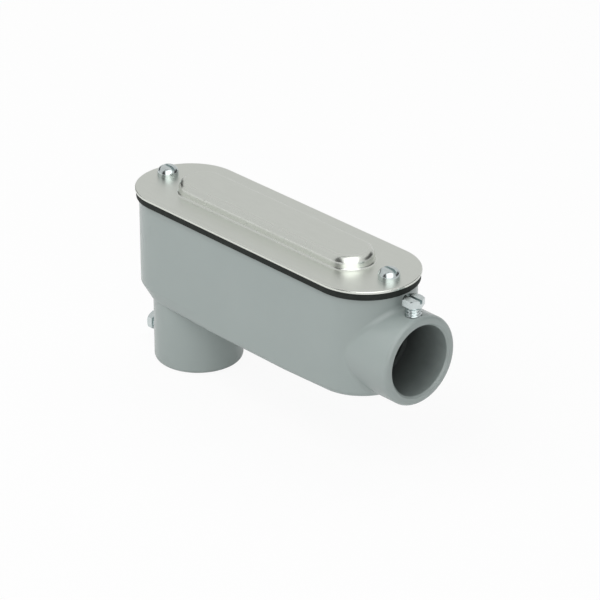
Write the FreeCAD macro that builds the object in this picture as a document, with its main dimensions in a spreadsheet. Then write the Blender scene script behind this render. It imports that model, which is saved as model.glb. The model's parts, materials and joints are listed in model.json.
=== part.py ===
"""Conduit body, set-screw type, right angle with a back outlet (electricians call the shape LB).

Frame: the origin is on the back hub's axis, where the wall of its socket starts behind the lead-in
at the mouth. +Z runs up that axis to the cover, +X towards the axial hub, and the XZ plane is the
plane of symmetry. Lengths are millimetres.
"""
import math
import os

import FreeCAD
import Part
import Sketcher

V = FreeCAD.Vector
doc = FreeCAD.newDocument("ConduitBody")

# ---------------------------------------------------------------------------------------------
# Driving dimensions
# ---------------------------------------------------------------------------------------------
DIMENSIONS = [
    # hubs: both take the same tube
    ("HubBore", 24.0, "socket diameter, for 23.42 mm tube"),
    ("HubWall", 3.2, "wall of a hub"),
    ("SocketDepth", 18.0, "mouth of a hub to its tube stop"),
    ("ThroatBore", 20.6, "passage past the tube stop"),
    ("ThroatLength", 3.0, "thickness of the axial hub's tube stop"),
    ("MouthChamfer", 0.6, "lead-in of each socket"),
    ("MouthRound", 1.5, "outer edge of each mouth"),
    ("AxialReach", 107.8, "back hub's axis to the axial hub's mouth"),
    ("AxialHeight", 38.3, "back hub's mouth to the axial hub's axis"),
    # chamber
    ("BodyDrop", 15.4, "axial hub's axis down to the underside of the chamber"),
    ("SeatRise", 20.6, "axial hub's axis up to the gasket seat"),
    ("BackEnd", 20.6, "back hub's axis to the chamber's back end"),
    ("HubRun", 9.0, "chamber's other end to the axial hub's mouth"),
    ("RampStart", 36.8, "chamber's axial end to where its underside starts to rise"),
    ("RampRise", 1.3, "rise of the underside at the chamber's axial end"),
    ("BlendHeight", 5.2, "height over which the chamber's end narrows to the back hub"),
    ("BlendReach", 24.0, "back hub's axis to where the narrowing has run out"),
    ("BlendStep", 0.3, "ledge between the narrowed end and the back hub"),
    ("BottomRound", 2.0, "rounding of the chamber's lower edge"),
    ("HubFillet", 2.0, "fillet between the axial hub and the chamber"),
    ("Wall", 2.6, "side wall of the chamber"),
    ("Floor", 3.0, "floor of the chamber"),
    ("ShelfWall", 2.6, "metal over the axial socket"),
    # cover
    ("CoverWidth", 36.4, "overall width of the cover"),
    ("CoverSheet", 0.9, "sheet thickness of the cover"),
    ("CoverOverhang", 1.3, "cover past the chamber, all round"),
    ("PanelInset", 17.3, "each end of the cover to the foot of its raised panel"),
    ("PanelWidth", 16.6, "raised panel, width at its foot"),
    ("PanelRise", 4.8, "raised panel over the rim"),
    ("PanelCrest", 3.0, "outer radius along the panel's crest"),
    ("PanelFoot", 0.8, "outer radius along the panel's foot"),
    ("RimRound", 0.35, "rounded edge of the rim"),
    # gasket
    ("GasketThickness", 2.3, "pressed thickness of the gasket"),
    ("GasketInset", 0.35, "cover's edge to the gasket's edge"),
    ("GasketLip", 0.7, "gasket past the inside of the chamber's wall"),
    # cover screws
    ("CoverScrewInset", 7.2, "each end of the cover to its screw"),
    ("CoverScrewShank", 3.5, "diameter of a cover screw's shank"),
    ("CoverScrewEngagement", 5.6, "length of a cover screw in the casting"),
    ("CoverScrewHead", 7.2, "diameter of a cover screw's head"),
    ("CoverScrewHeadHeight", 3.5, "height of a cover screw's head"),
    ("CoverScrewHeadSide", 1.1, "upright part of a cover screw's head"),
    ("CoverScrewClearance", 0.35, "shank to the hole in cover and gasket, on the radius"),
    ("BossDiameter", 8.4, "casting's boss round a cover screw"),
    ("BossDepth", 17.0, "gasket seat to the end of the boss over the back hub"),
    # set screws
    ("SetScrewShank", 5.4, "diameter of a set screw's shank"),
    ("SetScrewLength", 6.5, "length of a set screw under its head"),
    ("SetScrewFlats", 6.35, "set screw's hexagon, across its flats"),
    ("SetScrewHeadHeight", 2.4, "height of a set screw's head"),
    ("SetScrewInset", 3.7, "mouth of the axial hub to its set screw"),
    ("BackScrewInset", 4.8, "mouth of the back hub to its set screw"),
    ("SetScrewStand", 3.4, "axial hub's surface to the underside of its set screw's head"),
    ("BackScrewStand", 4.0, "back hub's boss to the underside of its set screw's head"),
    ("BackBossDiameter", 7.2, "boss round the back hub's set screw"),
    ("BackBossRise", 2.2, "boss over the back hub's surface"),
    # shared
    ("ThreadClearance", 0.05, "screw to its tapped hole, on the radius"),
    ("SlotWidth", 1.1, "driver slot in each screw"),
    ("SlotDepth", 1.0, "driver slot in each screw"),
    ("TipChamfer", 0.5, "bevelled end of each screw"),
]

sheet = doc.addObject("Spreadsheet::Sheet", "Dims")
for row, (alias, value, note) in enumerate(DIMENSIONS, start=1):
    sheet.set("A%d" % row, alias)
    sheet.set("B%d" % row, str(value))
    sheet.set("C%d" % row, note)
    sheet.setAlias("B%d" % row, alias)
doc.recompute()

# Shorthand for lengths that several pieces share, each an expression on the sheet.
HUB_RADIUS = "(Dims.HubBore / 2 + Dims.HubWall)"
BORE_RADIUS = "(Dims.HubBore / 2)"
THROAT_RADIUS = "(Dims.ThroatBore / 2)"
BODY_RADIUS = "(Dims.CoverWidth / 2 - Dims.CoverOverhang)"
CHAMBER_RADIUS = "(%s - Dims.Wall)" % BODY_RADIUS
BLEND_RADIUS = "(%s + Dims.BlendStep)" % HUB_RADIUS
COVER_RADIUS = "(Dims.CoverWidth / 2)"
SCREW_HOLE_RADIUS = "(Dims.CoverScrewShank / 2 + Dims.ThreadClearance)"
SET_HOLE_RADIUS = "(Dims.SetScrewShank / 2 + Dims.ThreadClearance)"
COVER_HOLE_RADIUS = "(Dims.CoverScrewShank / 2 + Dims.CoverScrewClearance)"

# Heights, from the mouth of the back hub up.
BACK_MOUTH = "(-Dims.MouthChamfer)"
AXIAL_AXIS = "(Dims.AxialHeight - Dims.MouthChamfer)"
BODY_BOTTOM = "(%s - Dims.BodyDrop)" % AXIAL_AXIS
CHAMBER_FLOOR = "(%s + Dims.Floor)" % BODY_BOTTOM
BLEND_TOP = "(%s + Dims.BlendHeight)" % BODY_BOTTOM
SHELF = "(%s + Dims.HubBore / 2 + Dims.ShelfWall)" % AXIAL_AXIS
BODY_TOP = "(%s + Dims.SeatRise)" % AXIAL_AXIS
RIM_UNDERSIDE = "(%s + Dims.GasketThickness)" % BODY_TOP
RIM_TOP = "(%s + Dims.CoverSheet)" % RIM_UNDERSIDE

# Stations along X: the ends, the centres of the rounded ends and the screws.
BODY_END = "(Dims.AxialReach - Dims.HubRun)"
RAMP_START = "(%s - Dims.RampStart)" % BODY_END
BACK_ARC = "(%s - Dims.BackEnd)" % BODY_RADIUS
AXIAL_ARC = "(%s - %s)" % (BODY_END, BODY_RADIUS)
AXIAL_STOP = "(Dims.AxialReach - Dims.SocketDepth)"
CHAMBER_AXIAL_ARC = "(%s - Dims.ThroatLength - %s)" % (AXIAL_STOP, CHAMBER_RADIUS)
COVER_BACK = "(-Dims.BackEnd - Dims.CoverOverhang)"
COVER_END = "(%s + Dims.CoverOverhang)" % BODY_END
PANEL_ARCS = ("(%s + Dims.PanelInset + Dims.PanelWidth / 2)" % COVER_BACK,
              "(%s - Dims.PanelInset - Dims.PanelWidth / 2)" % COVER_END)
BACK_SCREW_X = "(%s + Dims.CoverScrewInset)" % COVER_BACK
AXIAL_SCREW_X = "(%s - Dims.CoverScrewInset)" % COVER_END
COVER_SCREWS = (AXIAL_SCREW_X, BACK_SCREW_X)
AXIAL_SET_X = "(Dims.AxialReach - Dims.SetScrewInset)"
BACK_SET_Z = "(%s + Dims.BackScrewInset)" % BACK_MOUTH
BACK_BOSS_FACE = "(-%s - Dims.BackBossRise)" % HUB_RADIUS

OVERRUN = 2.0           # how far a drilled hole's sketch stands outside the metal
CLOSE = 1e-3            # how near an edge has to be to the place it is looked for


# ---------------------------------------------------------------------------------------------
# Helpers
# ---------------------------------------------------------------------------------------------
def value(expression):
    """The present value of an expression on the sheet, for a sketch's first guess."""
    names = {alias: float(sheet.get(alias)) for alias, _, _ in DIMENSIONS}
    text = expression.replace("Dims.", "")
    for alias in sorted(names, key=len, reverse=True):
        text = text.replace(alias, repr(names[alias]))
    return FreeCAD.Units.Quantity(text).Value


def new_body(label):
    body = doc.addObject("PartDesign::Body", "".join(word.capitalize() for word in label.split("_")))
    body.Label = label
    return body


def new_sketch(body, name, plane="XY_Plane", offset=None):
    """A sketch on one of the body's own origin planes, lifted off it by the expression offset."""
    sketch = body.newObject("Sketcher::SketchObject", name)
    support = next(f for f in body.Origin.OriginFeatures if f.Role == plane)
    sketch.AttachmentSupport = [(support, "")]
    sketch.MapMode = "FlatFace"
    if offset is not None:
        sketch.setExpression("AttachmentOffset.Base.z", offset)
    return sketch


def pin(sketch, geometry, point, x=None, y=None):
    """Hold a sketch point at expressions x and y from the sketch's origin; "0" puts it on the axis."""
    for kind, axis, expression in (("DistanceX", -2, x), ("DistanceY", -1, y)):
        if expression is None:
            continue
        if expression == "0":
            sketch.addConstraint(Sketcher.Constraint("PointOnObject", geometry, point, axis))
            continue
        index = sketch.addConstraint(
            Sketcher.Constraint(kind, -1, 1, geometry, point, value(expression)))
        sketch.setExpression("Constraints[%d]" % index, expression)


def add_circle(sketch, x, y, radius):
    circle = sketch.addGeometry(Part.Circle(V(value(x), value(y), 0), V(0, 0, 1), value(radius)))
    pin(sketch, circle, 3, x, y)
    index = sketch.addConstraint(Sketcher.Constraint("Radius", circle, value(radius)))
    sketch.setExpression("Constraints[%d]" % index, radius)


def add_chain(sketch, corners):
    """A closed chain of straight lines through corners, each an (x, y) pair of expressions."""
    points = [V(value(x), value(y), 0) for x, y in corners]
    lines = [sketch.addGeometry(Part.LineSegment(a, b))
             for a, b in zip(points, points[1:] + points[:1])]
    for this, following in zip(lines, lines[1:] + lines[:1]):
        sketch.addConstraint(Sketcher.Constraint("Coincident", this, 2, following, 1))
    for line, (x, y) in zip(lines, corners):
        pin(sketch, line, 1, x, y)


def add_outline(sketch, back_arc, back_radius, axial_arc, axial_radius, waist=None):
    """A round-ended outline along X: half circles about back_arc and axial_arc, joined by straight
    sides. With waist given, each side has a corner there, level with the axial end's arc."""
    xb, rb, xa, ra = (value(e) for e in (back_arc, back_radius, axial_arc, axial_radius))
    corners = [(xb, -rb, back_arc, "-" + back_radius), (xa, -ra, axial_arc, "-" + axial_radius),
               (xa, ra, axial_arc, axial_radius), (xb, rb, back_arc, back_radius)]
    if waist is not None:
        corners.insert(1, (value(waist), -ra, waist, "-" + axial_radius))
        corners.insert(4, (value(waist), ra, waist, axial_radius))
    half = len(corners) // 2
    geometry = []
    for i, (x, y, _, _) in enumerate(corners):
        x2, y2 = corners[(i + 1) % len(corners)][:2]
        if i + 1 == half:
            arc = Part.Arc(V(x, y, 0), V(xa + ra, 0, 0), V(x2, y2, 0))
        elif i + 1 == len(corners):
            arc = Part.Arc(V(x, y, 0), V(xb - rb, 0, 0), V(x2, y2, 0))
        else:
            arc = None
        geometry.append(sketch.addGeometry(arc or Part.LineSegment(V(x, y, 0), V(x2, y2, 0))))
    axial_end, back_end = geometry[half - 1], geometry[-1]
    for this, following in zip(geometry, geometry[1:] + geometry[:1]):
        sketch.addConstraint(Sketcher.Constraint("Coincident", this, 2, following, 1))
    for i, (_, _, ex, ey) in enumerate(corners):
        pin(sketch, geometry[i], 1, ex, ey)
    pin(sketch, axial_end, 3, axial_arc)
    pin(sketch, back_end, 3, back_arc)


def add_feature(body, kind, name, sketch, length=None, reverse=False, **settings):
    """A sketch-based feature. Its length is an expression, and it has to change the volume."""
    before = body.Shape.Volume if body.Tip is not None else 0.0
    feature = body.newObject("PartDesign::" + kind, name)
    feature.Profile = sketch
    if length is not None:
        feature.setExpression("Length", length)
    if reverse:
        feature.Reversed = True
    for key, setting in settings.items():
        setattr(feature, key, setting)
    doc.recompute()
    if abs(body.Shape.Volume - before) < 1e-6:
        raise RuntimeError(name + " changes nothing")
    return feature


def edges_where(shape, test):
    return ["Edge%d" % i for i, edge in enumerate(shape.Edges, start=1) if test(edge)]


def round_edges(body, name, radius, test, kind="Fillet"):
    """Fillet or chamfer the edges of the body that pass the test, by the expression radius."""
    base = body.Tip
    names = edges_where(base.Shape, test)
    if not names:
        raise RuntimeError(name + " finds no edge")
    feature = body.newObject("PartDesign::" + kind, name)
    feature.Base = (base, names)
    feature.setExpression("Radius" if kind == "Fillet" else "Size", radius)
    doc.recompute()
    return feature


def at_height(z):
    """Test for edges that lie wholly in the plane at height z, an expression."""
    level = value(z)
    return lambda e: abs(e.BoundBox.ZMin - level) < CLOSE and abs(e.BoundBox.ZMax - level) < CLOSE


def outline_at(z, half_width):
    """Test for the edges at height z of an outline that reaches half_width to either side."""
    half = value(half_width)
    flat = at_height(z)
    return lambda e: flat(e) and abs(max(e.BoundBox.YMax, -e.BoundBox.YMin) - half) < CLOSE


def is_circle(edge, radius):
    return isinstance(edge.Curve, Part.Circle) and abs(edge.Curve.Radius - radius) < CLOSE


# ---------------------------------------------------------------------------------------------
# Body casting
# ---------------------------------------------------------------------------------------------
def build_casting():
    body = new_body("body_casting")

    # Chamber, outside: upright walls, then a ruled skirt that narrows to the back hub.
    upper = new_sketch(body, "ChamberOutline", offset=BLEND_TOP)
    add_outline(upper, BACK_ARC, BODY_RADIUS, AXIAL_ARC, BODY_RADIUS, waist="Dims.BlendReach")
    add_feature(body, "Pad", "ChamberWalls", upper, "%s - %s" % (BODY_TOP, BLEND_TOP))
    middle = new_sketch(body, "SkirtTop", offset=BLEND_TOP)
    add_outline(middle, BACK_ARC, BODY_RADIUS, AXIAL_ARC, BODY_RADIUS, waist="Dims.BlendReach")
    lower = new_sketch(body, "SkirtBottom", offset=BODY_BOTTOM)
    add_outline(lower, "0", BLEND_RADIUS, AXIAL_ARC, BODY_RADIUS, waist="Dims.BlendReach")
    add_feature(body, "AdditiveLoft", "ChamberSkirt", middle, Sections=[lower], Ruled=True)
    ramp = new_sketch(body, "UndersideRampOutline", "XZ_Plane")
    add_chain(ramp, [(RAMP_START, BODY_BOTTOM), (BODY_END, BODY_BOTTOM),
                     (BODY_END, "(%s + Dims.RampRise)" % BODY_BOTTOM)])
    add_feature(body, "Pocket", "UndersideRamp", ramp, "Dims.CoverWidth", Midplane=True)
    blend_end = value("Dims.BlendReach") - CLOSE
    highest = value("%s + Dims.RampRise" % BODY_BOTTOM) + CLOSE
    round_edges(body, "LowerEdge", "Dims.BottomRound",
                lambda e: e.BoundBox.ZMax < highest and e.BoundBox.XMin > blend_end
                and e.BoundBox.XLength > CLOSE)

    # Hubs, outside. Each runs into the chamber's metal.
    back = new_sketch(body, "BackHubOutline", offset=BACK_MOUTH)
    add_circle(back, "0", "0", HUB_RADIUS)
    add_feature(body, "Pad", "BackHub", back, "%s - %s + Dims.Floor / 2" % (BODY_BOTTOM, BACK_MOUTH))
    axial = new_sketch(body, "AxialHubOutline", "YZ_Plane", "Dims.AxialReach")
    add_circle(axial, "0", AXIAL_AXIS, HUB_RADIUS)
    add_feature(body, "Pad", "AxialHub", axial, "Dims.AxialReach - %s" % RAMP_START, reverse=True)
    hub_radius, axis_height, arc_end, reach = (
        value(e) for e in (HUB_RADIUS, AXIAL_AXIS, AXIAL_ARC, "Dims.AxialReach"))

    def in_crease(edge):
        box = edge.BoundBox
        return box.XMin > arc_end and box.XMax < reach - CLOSE and all(
            abs(math.hypot(p.y, p.z - axis_height) - hub_radius) < CLOSE for p in edge.discretize(5))

    round_edges(body, "HubCrease", "Dims.HubFillet", in_crease)
    boss = new_sketch(body, "BackBossOutline", "YZ_Plane", BACK_BOSS_FACE)
    add_circle(boss, "0", BACK_SET_Z, "(Dims.BackBossDiameter / 2)")
    add_feature(body, "Pad", "BackBoss", boss, "Dims.BackBossRise + Dims.HubWall / 2")

    # Chamber, inside: down to the shelf over the axial socket, then down to the floor.
    mouth = new_sketch(body, "ChamberMouth", offset=BODY_TOP)
    add_outline(mouth, BACK_ARC, CHAMBER_RADIUS, AXIAL_ARC, CHAMBER_RADIUS)
    add_feature(body, "Pocket", "UpperChamber", mouth, "%s - %s" % (BODY_TOP, SHELF))
    shelf = new_sketch(body, "ChamberBelowShelf", offset=SHELF)
    add_outline(shelf, BACK_ARC, CHAMBER_RADIUS, CHAMBER_AXIAL_ARC, CHAMBER_RADIUS)
    add_feature(body, "Pocket", "LowerChamber", shelf, "%s - %s" % (SHELF, BLEND_TOP))
    skirt_top = new_sketch(body, "SkirtInsideTop", offset=BLEND_TOP)
    add_outline(skirt_top, BACK_ARC, CHAMBER_RADIUS, CHAMBER_AXIAL_ARC, CHAMBER_RADIUS,
                waist="Dims.BlendReach")
    skirt_floor = new_sketch(body, "SkirtInsideFloor", offset=CHAMBER_FLOOR)
    add_outline(skirt_floor, "0", "(%s - Dims.Wall)" % BLEND_RADIUS, CHAMBER_AXIAL_ARC,
                CHAMBER_RADIUS, waist="Dims.BlendReach")
    add_feature(body, "SubtractiveLoft", "FloorHollow", skirt_top, Sections=[skirt_floor], Ruled=True)

    # Bosses for the two cover screws, each grown into the end wall, and their tapped holes.
    for name, x, depth in (("AxialBoss", AXIAL_SCREW_X, "%s - %s" % (BODY_TOP, SHELF)),
                           ("BackScrewBoss", BACK_SCREW_X, "Dims.BossDepth")):
        outline = new_sketch(body, name + "Outline", offset=BODY_TOP)
        add_circle(outline, x, "0", "(Dims.BossDiameter / 2)")
        add_feature(body, "Pad", name, outline, depth, reverse=True)
    holes = new_sketch(body, "CoverScrewHoles", offset=BODY_TOP)
    for x in COVER_SCREWS:
        add_circle(holes, x, "0", SCREW_HOLE_RADIUS)
    add_feature(body, "Pocket", "CoverScrewBores", holes,
                "Dims.CoverScrewEngagement + 2 * Dims.TipChamfer")

    # Sockets with their tube stops, and the throats into the chamber.
    for name, plane, offset, height, radius, length, reverse in (
            ("BackSocket", "XY_Plane", BACK_MOUTH, "0", BORE_RADIUS, "Dims.SocketDepth", True),
            ("BackThroat", "XY_Plane", BACK_MOUTH, "0", THROAT_RADIUS,
             "%s - %s" % (CHAMBER_FLOOR, BACK_MOUTH), True),
            ("AxialSocket", "YZ_Plane", "Dims.AxialReach", AXIAL_AXIS, BORE_RADIUS,
             "Dims.SocketDepth", False),
            ("AxialThroat", "YZ_Plane", "Dims.AxialReach", AXIAL_AXIS, THROAT_RADIUS,
             "Dims.AxialReach - %s" % CHAMBER_AXIAL_ARC, False)):
        outline = new_sketch(body, name + "Outline", plane, offset)
        add_circle(outline, "0", height, radius)
        add_feature(body, "Pocket", name, outline, length, reverse=reverse)

    # Tapped holes for the set screws, drilled from outside each hub to its axis.
    top_hole = new_sketch(body, "AxialSetScrewOutline",
                          offset="%s + %s + %g" % (AXIAL_AXIS, HUB_RADIUS, OVERRUN))
    add_circle(top_hole, AXIAL_SET_X, "0", SET_HOLE_RADIUS)
    add_feature(body, "Pocket", "AxialSetScrewBore", top_hole, "%s + %g" % (HUB_RADIUS, OVERRUN))
    side_hole = new_sketch(body, "BackSetScrewOutline", "YZ_Plane",
                           "%s - %g" % (BACK_BOSS_FACE, OVERRUN))
    add_circle(side_hole, "0", BACK_SET_Z, SET_HOLE_RADIUS)
    add_feature(body, "Pocket", "BackSetScrewBore", side_hole,
                "%g - %s" % (OVERRUN, BACK_BOSS_FACE), reverse=True)

    # Edges of the two mouths.
    at_back_mouth = at_height(BACK_MOUTH)

    def mouth_edge(radius):
        radius = value(radius)
        return lambda e: is_circle(e, radius) and (at_back_mouth(e) or e.BoundBox.XMin > reach - CLOSE)

    round_edges(body, "MouthRounds", "Dims.MouthRound", mouth_edge(HUB_RADIUS))
    round_edges(body, "MouthLeadIns", "Dims.MouthChamfer", mouth_edge(BORE_RADIUS), kind="Chamfer")
    return body


# ---------------------------------------------------------------------------------------------
# Cover and gasket
# ---------------------------------------------------------------------------------------------
def build_cover():
    body = new_body("cover_plate")
    panel_radius = "(Dims.PanelWidth / 2)"
    hollow_radius = "(%s - Dims.CoverSheet)" % panel_radius

    rim = new_sketch(body, "RimOutline", offset=RIM_UNDERSIDE)
    add_outline(rim, BACK_ARC, COVER_RADIUS, AXIAL_ARC, COVER_RADIUS)
    add_feature(body, "Pad", "Rim", rim, "Dims.CoverSheet")
    panel = new_sketch(body, "PanelOutline", offset=RIM_UNDERSIDE)
    add_outline(panel, PANEL_ARCS[0], panel_radius, PANEL_ARCS[1], panel_radius)
    add_feature(body, "Pad", "Panel", panel, "Dims.CoverSheet + Dims.PanelRise")
    hollow = new_sketch(body, "HollowOutline", offset=RIM_UNDERSIDE)
    add_outline(hollow, PANEL_ARCS[0], hollow_radius, PANEL_ARCS[1], hollow_radius)
    add_feature(body, "Pocket", "PanelHollow", hollow, "Dims.PanelRise", reverse=True)
    holes = new_sketch(body, "ScrewHoleOutlines", offset=RIM_UNDERSIDE)
    for x in COVER_SCREWS:
        add_circle(holes, x, "0", COVER_HOLE_RADIUS)
    add_feature(body, "Pocket", "ScrewHoles", holes, "Dims.CoverSheet", reverse=True)

    # Bends of the sheet: crest and foot outside, and the same bends a sheet thickness inside.
    for name, radius, height, half_width in (
            ("CrestBend", "Dims.PanelCrest", "%s + Dims.PanelRise" % RIM_TOP, panel_radius),
            ("CrestBendInside", "Dims.PanelCrest - Dims.CoverSheet",
             "%s + Dims.PanelRise" % RIM_UNDERSIDE, hollow_radius),
            ("FootBend", "Dims.PanelFoot", RIM_TOP, panel_radius),
            ("FootBendInside", "Dims.PanelFoot + Dims.CoverSheet", RIM_UNDERSIDE, hollow_radius),
            ("RimEdge", "Dims.RimRound", RIM_TOP, COVER_RADIUS)):
        round_edges(body, name, radius, outline_at(height, half_width))
    return body


def build_gasket():
    body = new_body("cover_gasket")
    outer_radius = "(%s - Dims.GasketInset)" % COVER_RADIUS
    opening_radius = "(%s - Dims.GasketLip)" % CHAMBER_RADIUS
    ring = new_sketch(body, "GasketOutline", offset=BODY_TOP)
    add_outline(ring, BACK_ARC, outer_radius, AXIAL_ARC, outer_radius)
    add_feature(body, "Pad", "GasketSheet", ring, "Dims.GasketThickness")
    opening = new_sketch(body, "GasketOpening", offset=BODY_TOP)
    add_outline(opening, BACK_ARC, opening_radius, AXIAL_ARC, opening_radius)
    add_feature(body, "Pocket", "Opening", opening, "Dims.GasketThickness", reverse=True)
    lobes = new_sketch(body, "ScrewLobes", offset=BODY_TOP)
    holes = new_sketch(body, "GasketHoles", offset=BODY_TOP)
    for x in COVER_SCREWS:
        add_circle(lobes, x, "0", "(Dims.BossDiameter / 2 + Dims.GasketLip / 2)")
        add_circle(holes, x, "0", COVER_HOLE_RADIUS)
    add_feature(body, "Pad", "Lobes", lobes, "Dims.GasketThickness")
    add_feature(body, "Pocket", "ScrewHoles", holes, "Dims.GasketThickness", reverse=True)
    return body


# ---------------------------------------------------------------------------------------------
# Screws, each modelled point down with the underside of its head at its own origin
# ---------------------------------------------------------------------------------------------
def add_slot(body, head_height, head_width):
    slot = new_sketch(body, "SlotOutline", offset=head_height)
    reach = "(%s)" % head_width
    half = "(Dims.SlotWidth / 2)"
    add_chain(slot, [("-" + reach, "-" + half), (reach, "-" + half), (reach, half), ("-" + reach, half)])
    add_feature(body, "Pocket", "DriverSlot", slot, "Dims.SlotDepth")


def build_cover_screw(label, x):
    """Slotted round-head machine screw, its head standing on the cover."""
    body = new_body(label)
    length = "(Dims.CoverSheet + Dims.GasketThickness + Dims.CoverScrewEngagement)"
    shank = new_sketch(body, "ShankOutline")
    add_circle(shank, "0", "0", "(Dims.CoverScrewShank / 2)")
    add_feature(body, "Pad", "Shank", shank, length, reverse=True)
    head = new_sketch(body, "HeadOutline")
    add_circle(head, "0", "0", "(Dims.CoverScrewHead / 2)")
    add_feature(body, "Pad", "Head", head, "Dims.CoverScrewHeadHeight")
    round_edges(body, "HeadDome", "Dims.CoverScrewHeadHeight - Dims.CoverScrewHeadSide",
                at_height("Dims.CoverScrewHeadHeight"))
    round_edges(body, "Tip", "Dims.TipChamfer", at_height("-" + length), kind="Chamfer")
    add_slot(body, "Dims.CoverScrewHeadHeight", "Dims.CoverScrewHead")
    body.setExpression("Placement.Base.x", x)
    body.setExpression("Placement.Base.z", RIM_TOP)
    return body


def build_set_screw(label):
    """Slotted hexagon-head set screw."""
    body = new_body(label)
    shank = new_sketch(body, "ShankOutline")
    add_circle(shank, "0", "0", "(Dims.SetScrewShank / 2)")
    add_feature(body, "Pad", "Shank", shank, "Dims.SetScrewLength", reverse=True)
    head = new_sketch(body, "HeadOutline")
    half = "(Dims.SetScrewFlats / 2)"
    corner = "(Dims.SetScrewFlats / sqrt(3))"
    side = "(Dims.SetScrewFlats / sqrt(3) / 2)"
    add_chain(head, [(corner, "0"), (side, half), ("-" + side, half), ("-" + corner, "0"),
                     ("-" + side, "-" + half), (side, "-" + half)])
    add_feature(body, "Pad", "Head", head, "Dims.SetScrewHeadHeight")

    # The turned bevel that takes the hexagon's top corners off.
    bevel = new_sketch(body, "BevelOutline", "XZ_Plane")
    drop = "(Dims.SetScrewHeadHeight - Dims.TipChamfer / 2)"
    outside = "(Dims.SetScrewFlats / 2 + 2 * Dims.TipChamfer)"
    top = "(Dims.SetScrewHeadHeight + Dims.TipChamfer / 4)"
    add_chain(bevel, [("(Dims.SetScrewFlats / 2 - Dims.TipChamfer / 4)", top),
                      (outside, "(Dims.SetScrewHeadHeight - 3 * Dims.TipChamfer / 2)"),
                      (outside, top)])
    groove = body.newObject("PartDesign::Groove", "HeadBevel")
    groove.Profile = bevel
    groove.ReferenceAxis = (bevel, ["V_Axis"])
    groove.Angle = 360
    doc.recompute()
    round_edges(body, "Tip", "Dims.TipChamfer", at_height("-Dims.SetScrewLength"), kind="Chamfer")
    add_slot(body, "Dims.SetScrewHeadHeight", "Dims.SetScrewFlats")
    return body


casting = build_casting()
cover = build_cover()
gasket = build_gasket()
screw_axial = build_cover_screw("cover_screw_axial", AXIAL_SCREW_X)
screw_back = build_cover_screw("cover_screw_back", BACK_SCREW_X)

set_axial = build_set_screw("set_screw_axial")
set_axial.setExpression("Placement.Base.x", AXIAL_SET_X)
set_axial.setExpression("Placement.Base.z", "%s + %s + Dims.SetScrewStand" % (AXIAL_AXIS, HUB_RADIUS))
set_back = build_set_screw("set_screw_back")
set_back.Placement = FreeCAD.Placement(V(0, 0, 0), FreeCAD.Rotation(V(0, 1, 0), -90))
set_back.setExpression("Placement.Base.x", "%s - Dims.BackScrewStand" % BACK_BOSS_FACE)
set_back.setExpression("Placement.Base.z", BACK_SET_Z)
doc.recompute()

# ---------------------------------------------------------------------------------------------
# Check and write
# ---------------------------------------------------------------------------------------------
faulty = [o.Name for o in doc.Objects if "Invalid" in o.State or "Error" in o.State]
if faulty:
    raise RuntimeError("failed objects: " + ", ".join(faulty))

pieces = [casting, cover, gasket, screw_axial, screw_back, set_axial, set_back]
os.makedirs("parts", exist_ok=True)
for piece in pieces:
    shape = piece.Shape
    if shape.isNull() or not shape.isValid() or len(shape.Solids) != 1:
        raise RuntimeError(piece.Label + " is not one valid solid")
    shape.exportStep("parts/%s.step" % piece.Label)
    box = shape.BoundBox
    print("%-18s volume %9.1f mm3, x %.1f to %.1f, y %.1f to %.1f, z %.1f to %.1f" % (
        piece.Label, shape.Volume, box.XMin, box.XMax, box.YMin, box.YMax, box.ZMin, box.ZMax))
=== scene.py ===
"""Looks of a set-screw conduit body: enamelled casting, sheet cover, gasket and plated screws."""
import json
import math

import bmesh
import bpy
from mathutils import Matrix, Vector

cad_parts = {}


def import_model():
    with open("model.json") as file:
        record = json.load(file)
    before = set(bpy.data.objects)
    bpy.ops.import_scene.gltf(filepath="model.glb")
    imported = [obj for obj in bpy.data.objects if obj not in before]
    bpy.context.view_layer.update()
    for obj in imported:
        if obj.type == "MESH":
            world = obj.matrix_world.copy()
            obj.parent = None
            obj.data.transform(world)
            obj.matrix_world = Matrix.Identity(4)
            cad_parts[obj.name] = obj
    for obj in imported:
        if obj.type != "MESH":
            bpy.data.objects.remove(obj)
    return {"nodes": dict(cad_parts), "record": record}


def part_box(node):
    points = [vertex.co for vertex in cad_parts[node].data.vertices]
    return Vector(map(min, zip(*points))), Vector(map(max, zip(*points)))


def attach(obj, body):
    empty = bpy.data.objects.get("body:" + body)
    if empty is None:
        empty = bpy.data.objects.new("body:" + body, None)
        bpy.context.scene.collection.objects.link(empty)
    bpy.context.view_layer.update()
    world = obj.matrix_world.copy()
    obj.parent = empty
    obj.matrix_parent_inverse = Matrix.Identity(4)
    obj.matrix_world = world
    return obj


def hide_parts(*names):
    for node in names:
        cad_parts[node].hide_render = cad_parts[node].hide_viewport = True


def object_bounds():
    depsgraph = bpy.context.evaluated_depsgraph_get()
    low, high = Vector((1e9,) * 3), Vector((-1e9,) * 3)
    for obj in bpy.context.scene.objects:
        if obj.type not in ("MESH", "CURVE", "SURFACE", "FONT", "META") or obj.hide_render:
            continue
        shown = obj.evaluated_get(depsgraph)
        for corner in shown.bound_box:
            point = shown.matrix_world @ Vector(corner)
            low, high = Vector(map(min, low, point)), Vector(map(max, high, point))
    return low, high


MM = 0.001
CLOSE = 0.01 * MM

# Where the sockets lie: the axial hub's axis, how far a socket's wall can be from its own axis, and
# the far ends of the two throats, one up the back hub's axis and one along the chamber.
AXIAL_AXIS = 37.7 * MM
SOCKET_RADIUS = 12.7 * MM
SOCKET_LENGTH = 18.0 * MM
BACK_THROAT = 25.2 * MM
AXIAL_THROAT = 86.9 * MM
MOUTH_SHARE = 0.06          # share of a socket's length at the mouth that gets no painted shade

COVER_SHEET = 0.9 * MM
RIM_SHARE = 0.16            # the flat rim's share of the cover's height

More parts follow.
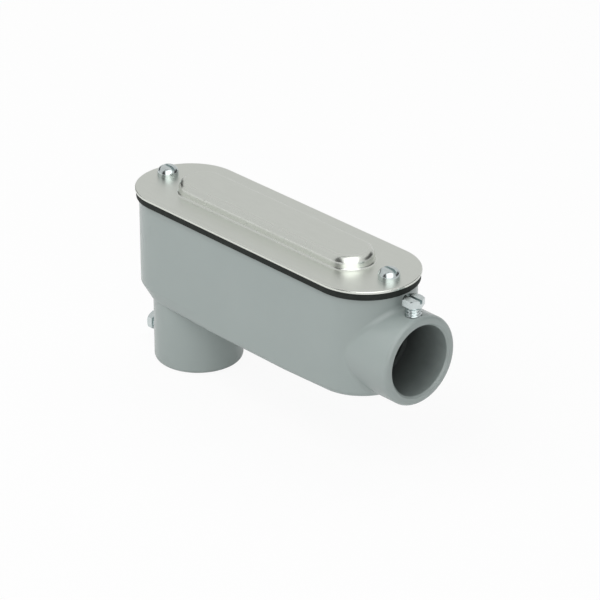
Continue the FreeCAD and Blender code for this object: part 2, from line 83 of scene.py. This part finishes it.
# Screws: thread radius and pitch.
SET_SCREW = (2.7 * MM, 1.058 * MM)
COVER_SCREW = (1.75 * MM, 0.794 * MM)
TIP_BEVEL = 0.5 * MM
THREAD_LAP = 0.2 * MM       # how far a thread runs up into its head
THREAD_DEPTH = 0.6          # in pitches
THREAD_CREST = 1.15         # a crest is flat where the V would stand past this share
THREAD_ROWS = 8             # to a pitch
THREAD_STEPS = 48           # to a turn
SHARP_EDGE = math.radians(20)

# Studio, in degrees and metres.
CAMERA_AZIMUTH = 47.77
CAMERA_ELEVATION = 26.21
CAMERA_DISTANCE = 1.0327
CAMERA_RIGHT = 0.00821
CAMERA_DOWN = 0.02449
FLOOR_DROP = 0.05 * MM
FLOOR_GREY = 0.80
ROOM_LIGHT = 0.36
ROOM_GLOSS = 0.88
# Dark gaps between the room's pale panels: azimuth, half width and top.
GAPS = ((2, 20, 90), (-88, 20, 20), (150, 28, 26))
GAP_EDGE = 4
GAP_GLOSS = 0.05

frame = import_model()
cad_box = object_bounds()


# ---------------------------------------------------------------------------------------------
# Node helpers
# ---------------------------------------------------------------------------------------------
class Nodes:
    """A material's node tree, with one short call for each node made."""

    def __init__(self, name):
        self.material = bpy.data.materials.new(name)
        self.material.use_nodes = True
        self.tree = self.material.node_tree
        self.shader = self.tree.nodes["Principled BSDF"]
        self.place = self.make("ShaderNodeTexCoord").outputs["Object"]

    def make(self, kind, **settings):
        """A node with its inputs or, where it has no such input, its properties set."""
        node = self.tree.nodes.new(kind)
        for key, setting in settings.items():
            if key in node.inputs:
                node.inputs[key].default_value = setting
            else:
                setattr(node, key, setting)
        return node

    def link(self, output, target):
        self.tree.links.new(output, target)

    def set(self, **values):
        """Numbers on the shader's own sockets."""
        for key, number in values.items():
            self.shader.inputs[key.replace("_", " ")].default_value = number

    def noise(self, scale, detail=2.0, stretch=(1, 1, 1), roughness=0.5):
        """Noise about its middle value 0.5; scale is in cycles to the metre."""
        mapping = self.make("ShaderNodeMapping", Scale=stretch)
        noise = self.make("ShaderNodeTexNoise", Scale=scale, Detail=detail, Roughness=roughness)
        self.link(self.place, mapping.inputs["Vector"])
        self.link(mapping.outputs["Vector"], noise.inputs["Vector"])
        return noise.outputs["Fac"]

    def ramp(self, source, *stops):
        """Colours or grey levels along source, each stop a (position, colour or level) pair."""
        ramp = self.make("ShaderNodeValToRGB")
        elements = ramp.color_ramp.elements
        while len(elements) < len(stops):
            elements.new(0.5)
        for element, (position, colour) in zip(elements, stops):
            element.position = position
            if isinstance(colour, (int, float)):
                colour = (colour,) * 3
            element.color = (*colour, 1)
        self.link(source, ramp.inputs["Fac"])
        return ramp.outputs["Color"]

    def put(self, socket, value):
        """A number on the socket itself, or a link to it."""
        if isinstance(value, (int, float)):
            socket.default_value = value
        else:
            self.link(value, socket)

    def mix(self, factor, low, high, blend="MIX"):
        node = self.make("ShaderNodeMix", data_type="RGBA", blend_type=blend)
        sockets = [s for s in node.inputs if s.type == "RGBA"]
        for socket, colour in zip(sockets, (low, high)):
            if isinstance(colour, tuple):
                socket.default_value = (*colour, 1)
            else:
                self.link(colour, socket)
        self.put(node.inputs["Factor"], factor)
        return next(s for s in node.outputs if s.type == "RGBA")

    def math(self, operation, *values):
        node = self.make("ShaderNodeMath", operation=operation)
        for socket, value in zip(node.inputs, values):
            self.put(socket, value)
        return node.outputs[0]

    def length(self, *values):
        """The length of the vector with these three parts."""
        join = self.make("ShaderNodeCombineXYZ")
        for socket, value in zip(join.inputs, values):
            self.put(socket, value)
        node = self.make("ShaderNodeVectorMath", operation="LENGTH")
        self.link(join.outputs[0], node.inputs[0])
        return node.outputs["Value"]

    def axes(self, vector):
        """The three parts of a vector."""
        split = self.make("ShaderNodeSeparateXYZ")
        self.link(vector, split.inputs[0])
        return split.outputs

    def below(self, value, limit):
        return self.math("LESS_THAN", value, limit)

    def above(self, value, limit):
        return self.math("GREATER_THAN", value, limit)

    def both(self, one, other):
        return self.math("MULTIPLY", one, other)

    def bump(self, height, depth, strength):
        """Bump of the given depth in metres where height goes from 0 to 1."""
        node = self.make("ShaderNodeBump", Distance=depth, Strength=strength)
        self.link(height, node.inputs["Height"])
        return node.outputs["Normal"]


# ---------------------------------------------------------------------------------------------
# Materials
# ---------------------------------------------------------------------------------------------
def socket_depth(m):
    """Depth in metres into either socket at a point of its wall, 0 elsewhere."""
    along, across, height = m.axes(m.place)
    from_back = m.length(along, across, 0)
    from_axial = m.length(0, across, m.math("SUBTRACT", height, AXIAL_AXIS))
    back = m.both(m.below(from_back, SOCKET_RADIUS), m.below(height, BACK_THROAT))
    axial = m.both(m.below(from_axial, SOCKET_RADIUS), m.above(along, AXIAL_THROAT))
    return m.math("ADD", m.both(back, m.math("ADD", height, -cad_box[0].z)),
                  m.both(axial, m.math("SUBTRACT", cad_box[1].x, along)))


def enamel():
    """Satin grey enamel on a die casting with a faint orange peel; painted shade darkens it down the
    sockets.
    """
    m = Nodes("enamel")
    m.set(Metallic=0.0, IOR=1.5)
    coat = m.ramp(m.noise(45, 3), (0.3, (0.330, 0.378, 0.366)), (0.7, (0.342, 0.390, 0.378)))
    wear = m.ramp(m.noise(240, 4), (0.3, 0.9), (0.7, 1.0))
    depth = m.math("DIVIDE", socket_depth(m), SOCKET_LENGTH)
    # Painted shade: the base colour darkens with depth down either socket, in place of the shade inside it.
    shade = m.ramp(depth, (MOUTH_SHARE, 1.0), (0.5, 0.55), (1.0, 0.16))
    # worn holds the painted shade of the sockets, flecked by the wear noise.
    worn = m.mix(1.0, shade, wear, blend="MULTIPLY")
    tone = m.mix(m.above(depth, MOUTH_SHARE), coat, m.mix(1.0, coat, worn, blend="MULTIPLY"))
    m.link(tone, m.shader.inputs["Base Color"])
    m.link(m.ramp(m.noise(160, 3), (0.3, 0.20), (0.7, 0.26)), m.shader.inputs["Roughness"])
    m.link(m.bump(m.noise(300, 1), 0.00003, 0.4), m.shader.inputs["Normal"])
    return m.material


def cover_steel():
    """Zinc-coated sheet: satin where flat, smoother on the bends, with painted light brightening the panel's
    flanks.
    """
    m = Nodes("cover_steel")
    m.set(Metallic=1.0)
    coordinates = m.make("ShaderNodeTexCoord").outputs
    facing = m.axes(coordinates["Normal"])[2]
    height = m.axes(coordinates["Generated"])[2]
    grain = m.noise(700, 3, stretch=(0.25, 1, 1))
    sheet = m.ramp(grain, (0.3, (0.728, 0.752, 0.702)), (0.7, (0.744, 0.768, 0.718)))
    # Painted light: a paler base colour on the panel's steep flanks.
    painted_light_flank = m.ramp(grain, (0.3, (0.90, 0.92, 0.88)), (0.7, (0.92, 0.94, 0.90)))
    steep = m.ramp(facing, (0.05, 1.0), (0.35, 0.0))
    flank = m.both(steep, m.above(height, RIM_SHARE))
    m.link(m.mix(flank, sheet, painted_light_flank), m.shader.inputs["Base Color"])
    flat = m.ramp(facing, (0.90, 0.0), (0.995, 0.15))
    worn = m.ramp(m.noise(90, 3), (0.3, 0.24), (0.7, 0.28))
    m.link(m.math("ADD", flat, worn), m.shader.inputs["Roughness"])
    return m.material


def gasket_rubber():
    """Matt black sheet rubber."""
    m = Nodes("gasket_rubber")
    m.set(Metallic=0.0, IOR=1.5, Specular_IOR_Level=0.3)
    m.link(m.ramp(m.noise(400, 3), (0.3, (0.008, 0.011, 0.009)), (0.7, (0.015, 0.019, 0.016))),
           m.shader.inputs["Base Color"])
    m.link(m.ramp(m.noise(900, 2), (0.3, 0.62), (0.7, 0.75)), m.shader.inputs["Roughness"])
    m.link(m.bump(m.noise(1500, 2), 0.00003, 0.6), m.shader.inputs["Normal"])
    return m.material


def screw_zinc():
    """Bright zinc plate, a little uneven."""
    m = Nodes("screw_zinc")
    m.set(Metallic=1.0)
    m.link(m.ramp(m.noise(700, 3), (0.3, (0.60, 0.66, 0.66)), (0.7, (0.70, 0.76, 0.76))),
           m.shader.inputs["Base Color"])
    m.link(m.ramp(m.noise(500, 2), (0.3, 0.14), (0.7, 0.26)), m.shader.inputs["Roughness"])
    m.link(m.bump(m.noise(1200, 2), 0.00002, 0.4), m.shader.inputs["Normal"])
    return m.material


def dress(node, material):
    for slot in frame["nodes"][node].material_slots:
        slot.material = material


# ---------------------------------------------------------------------------------------------
# Threads, which stand for the screws' plain shanks
# ---------------------------------------------------------------------------------------------
def off_axis(vector, direction):
    """How far vector reaches to the side of direction."""
    return (vector - direction * vector.dot(direction)).length


def thread_radius(along, angle, length, radius, pitch):
    """Radius of a right-hand V thread, with its bevelled tip."""
    phase = (along / pitch - angle / math.tau) % 1
    crest = 1 - abs(2 * phase - 1)
    cut = radius - THREAD_DEPTH * pitch * (1 - min(1.0, crest * THREAD_CREST))
    return min(cut, radius - TIP_BEVEL + max(0.0, length - along))


def keep_head(bm, head_face, tip_dir):
    """Takes the shank off a screw and closes the underside of its head."""
    gone = [f for f in bm.faces if f.calc_center_median().dot(tip_dir) > head_face + CLOSE]
    bmesh.ops.delete(bm, geom=gone, context="FACES")
    bmesh.ops.holes_fill(bm, edges=[edge for edge in bm.edges if edge.is_boundary], sides=0)
    for face in bm.faces:
        face.smooth = True
    for edge in bm.edges:
        edge.smooth = len(edge.link_faces) == 2 and edge.calc_face_angle() < SHARP_EDGE


def add_thread(bm, start, tip_dir, length, radius, pitch):
    """A closed thread from start towards the tip."""
    side = tip_dir.orthogonal().normalized()
    other = tip_dir.cross(side)
    rows = math.ceil(length / pitch * THREAD_ROWS)
    rings = []
    for row in range(rows + 1):
        along = length * row / rows
        ring = []
        for step in range(THREAD_STEPS):
            angle = math.tau * step / THREAD_STEPS
            out = side * math.cos(angle) + other * math.sin(angle)
            reach = thread_radius(along, angle, length, radius, pitch)
            ring.append(bm.verts.new(start + tip_dir * along + out * reach))
        rings.append(ring)
    for upper, lower in zip(rings, rings[1:]):
        for step in range(THREAD_STEPS):
            after = (step + 1) % THREAD_STEPS
            bm.faces.new((upper[step], upper[after], lower[after], lower[step])).smooth = True
    bm.faces.new(rings[-1])
    bm.faces.new(reversed(rings[0]))


def threaded_screw(node, body, towards_tip, radius, pitch):
    """The screw with its CAD head and a real thread down its shank."""
    source = frame["nodes"][node]
    bm = bmesh.new()
    bm.from_mesh(source.data)
    bm.transform(source.matrix_world)
    bmesh.ops.remove_doubles(bm, verts=bm.verts, dist=CLOSE / 10)
    tip_dir = Vector(towards_tip)
    box_low, box_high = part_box(node)
    middle = (box_low + box_high) / 2
    tip = max(v.co.dot(tip_dir) for v in bm.verts)
    shank = [v for v in bm.verts if abs(off_axis(v.co - middle, tip_dir) - radius) < CLOSE]
    head_face = min(v.co.dot(tip_dir) for v in shank)
    keep_head(bm, head_face, tip_dir)
    start = middle + tip_dir * (head_face - middle.dot(tip_dir) - THREAD_LAP)
    add_thread(bm, start, tip_dir, tip - head_face + THREAD_LAP, radius, pitch)

    mesh = bpy.data.meshes.new(node + "_threaded")
    bm.to_mesh(mesh)
    bm.free()
    if "custom_normal" in mesh.attributes:
        mesh.attributes.remove(mesh.attributes["custom_normal"])
    obj = bpy.data.objects.new(node + "_threaded", mesh)
    bpy.context.collection.objects.link(obj)
    mesh.materials.clear()
    mesh.materials.append(finishes["screw_zinc"])
    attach(obj, body)
    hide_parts(node)


finishes = {"enamel": enamel(), "cover_steel": cover_steel(), "gasket_rubber": gasket_rubber(),
            "screw_zinc": screw_zinc()}
for part in frame["record"]["subparts"]:
    dress(part["node"], finishes[part["material_slot"]])

for node, body, towards_tip, sizes in (
        ("set_screw_axial", "axial_set_screw", (0, 0, -1), SET_SCREW),
        ("set_screw_back", "back_set_screw", (1, 0, 0), SET_SCREW),
        ("cover_screw_axial", "axial_cover_screw", (0, 0, -1), COVER_SCREW),
        ("cover_screw_back", "back_cover_screw", (0, 0, -1), COVER_SCREW)):
    threaded_screw(node, body, towards_tip, *sizes)


# ---------------------------------------------------------------------------------------------
# Stage: floor, world, lamps and camera
# ---------------------------------------------------------------------------------------------
low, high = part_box("cover_plate")
rim_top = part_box("cover_gasket")[1].z + COVER_SHEET
target = Vector(((low.x + high.x) / 2, 0, rim_top))


def direction(azimuth, elevation):
    """Unit vector towards a place seen at azimuth (0 is -Y, 90 is +X) and elevation, in degrees."""
    a, e = math.radians(azimuth), math.radians(elevation)
    return Vector((math.sin(a) * math.cos(e), -math.cos(a) * math.cos(e), math.sin(e)))


def add_looking(name, data, towards):
    """An object for a lamp or camera, turned so that its back is towards that direction."""
    obj = bpy.data.objects.new(name, data)
    bpy.context.collection.objects.link(obj)
    obj.rotation_mode = "QUATERNION"
    obj.rotation_quaternion = towards.to_track_quat("Z", "Y")
    return obj


def camera():
    """The camera, aimed a little to the side of the middle of the cover's rim."""
    back = direction(CAMERA_AZIMUTH, CAMERA_ELEVATION)
    right = direction(CAMERA_AZIMUTH + 90, 0)
    up = back.cross(right)
    data = bpy.data.cameras.new("camera")
    data.sensor_width = 36
    data.lens = 190.5
    data.clip_start = 0.05
    obj = add_looking("camera", data, back)
    obj.location = target + back * CAMERA_DISTANCE + right * CAMERA_RIGHT - up * CAMERA_DOWN
    bpy.context.scene.camera = obj


def shown_white(tree, camera_share, gloss_share):
    """The share of plain white mixed into the floor, for camera rays and for gloss and transmission."""
    path = tree.nodes.new("ShaderNodeLightPath")
    total = None
    for ray, share in (("Is Camera Ray", camera_share), ("Is Glossy Ray", gloss_share),
                       ("Is Transmission Ray", gloss_share)):
        scaled = tree.nodes.new("ShaderNodeMath")
        scaled.operation = "MULTIPLY"
        scaled.inputs[1].default_value = share
        tree.links.new(path.outputs[ray], scaled.inputs[0])
        if total is None:
            total = scaled.outputs[0]
            continue
        most = tree.nodes.new("ShaderNodeMath")
        most.operation = "MAXIMUM"
        tree.links.new(total, most.inputs[0])
        tree.links.new(scaled.outputs[0], most.inputs[1])
        total = most.outputs[0]
    return total


def floor():
    """White to the camera, with the object's shadow still on it."""
    bpy.ops.mesh.primitive_plane_add(size=8, location=(target.x, 0, cad_box[0].z - FLOOR_DROP))
    obj = bpy.context.object
    obj.name = "floor"
    material = bpy.data.materials.new("floor")
    material.use_nodes = True
    tree = material.node_tree
    shader = tree.nodes["Principled BSDF"]
    shader.inputs["Base Color"].default_value = (FLOOR_GREY, FLOOR_GREY, FLOOR_GREY, 1)
    shader.inputs["Roughness"].default_value = 1.0
    shader.inputs["Specular IOR Level"].default_value = 0.0
    glow = tree.nodes.new("ShaderNodeEmission")
    glow.inputs["Strength"].default_value = 1.0
    mixer = tree.nodes.new("ShaderNodeMixShader")
    tree.links.new(shown_white(tree, 0.92, 0.3), mixer.inputs["Fac"])
    tree.links.new(shader.outputs[0], mixer.inputs[1])
    tree.links.new(glow.outputs[0], mixer.inputs[2])
    tree.links.new(mixer.outputs[0], tree.nodes["Material Output"].inputs["Surface"])
    obj.data.materials.append(material)


def world():
    """White behind the object, an even room for light, and pale panels with dark gaps for gloss."""
    made = bpy.data.worlds.new("studio")
    bpy.context.scene.world = made
    made.use_nodes = True
    tree = made.node_tree

    def put(socket, value):
        if isinstance(value, (int, float)):
            socket.default_value = value
        else:
            tree.links.new(value, socket)

    def calc(operation, *values):
        node = tree.nodes.new("ShaderNodeMath")
        node.operation = operation
        for socket, value in zip(node.inputs, values):
            put(socket, value)
        return node.outputs[0]

    def within(value, limit):
        """1 well below limit and 0 well above it, with a soft edge."""
        node = tree.nodes.new("ShaderNodeMapRange")
        node.interpolation_type = "SMOOTHSTEP"
        for key, number in (("Value", value), ("From Min", limit - GAP_EDGE), ("From Max", limit + GAP_EDGE),
                            ("To Min", 1.0), ("To Max", 0.0)):
            put(node.inputs[key], number)
        return node.outputs["Result"]

    split = tree.nodes.new("ShaderNodeSeparateXYZ")
    tree.links.new(tree.nodes.new("ShaderNodeTexCoord").outputs["Generated"], split.inputs[0])
    along, across, upward = split.outputs
    azimuth = calc("DEGREES", calc("ARCTAN2", along, calc("MULTIPLY", across, -1.0)))
    elevation = calc("DEGREES", calc("ARCSINE", upward))
    gap = 0.0
    for centre, half_width, top in GAPS:
        beside = calc("ABSOLUTE", calc("SUBTRACT", azimuth, float(centre)))
        gap = calc("MAXIMUM", gap, calc("MULTIPLY", within(beside, half_width), within(elevation, top)))
    gloss = calc("SUBTRACT", ROOM_GLOSS, calc("MULTIPLY", gap, ROOM_GLOSS - GAP_GLOSS))

    room = tree.nodes["Background"]
    room.inputs["Color"].default_value = (1, 1, 1, 1)
    room.inputs["Strength"].default_value = ROOM_LIGHT
    path = tree.nodes.new("ShaderNodeLightPath")
    shown = room.outputs[0]
    for ray, strength in (("Is Glossy Ray", gloss), ("Is Camera Ray", 1.0)):
        layer = tree.nodes.new("ShaderNodeBackground")
        put(layer.inputs["Strength"], strength)
        mixer = tree.nodes.new("ShaderNodeMixShader")
        put(mixer.inputs["Fac"], path.outputs[ray])
        put(mixer.inputs[1], shown)
        put(mixer.inputs[2], layer.outputs[0])
        shown = mixer.outputs[0]
    tree.links.new(shown, tree.nodes["World Output"].inputs["Surface"])


def lamp(name, azimuth, elevation, distance, size, power, gloss_only=False):
    """A soft box there, facing the object: one that only gloss shows, or one that gloss leaves out."""
    data = bpy.data.lights.new(name, "AREA")
    data.shape = "RECTANGLE"
    data.size, data.size_y = size
    data.energy = power
    towards = direction(azimuth, elevation)
    obj = add_looking(name, data, towards)
    obj.location = target + towards * distance
    obj.visible_glossy = gloss_only
    obj.visible_diffuse = not gloss_only


camera()
floor()
world()
lamp("card", 55, 36, 1.2, (1.55, 1.9), 10.8, gloss_only=True)
lamp("front_left", -20, 54, 1.3, (1.4, 1.2), 11.5)
lamp("right", 62, 22, 1.3, (0.8, 0.7), 3.5)
lamp("overhead", 200, 62, 1.3, (1.2, 1.0), 5)
bpy.context.scene.view_settings.view_transform = "Standard"
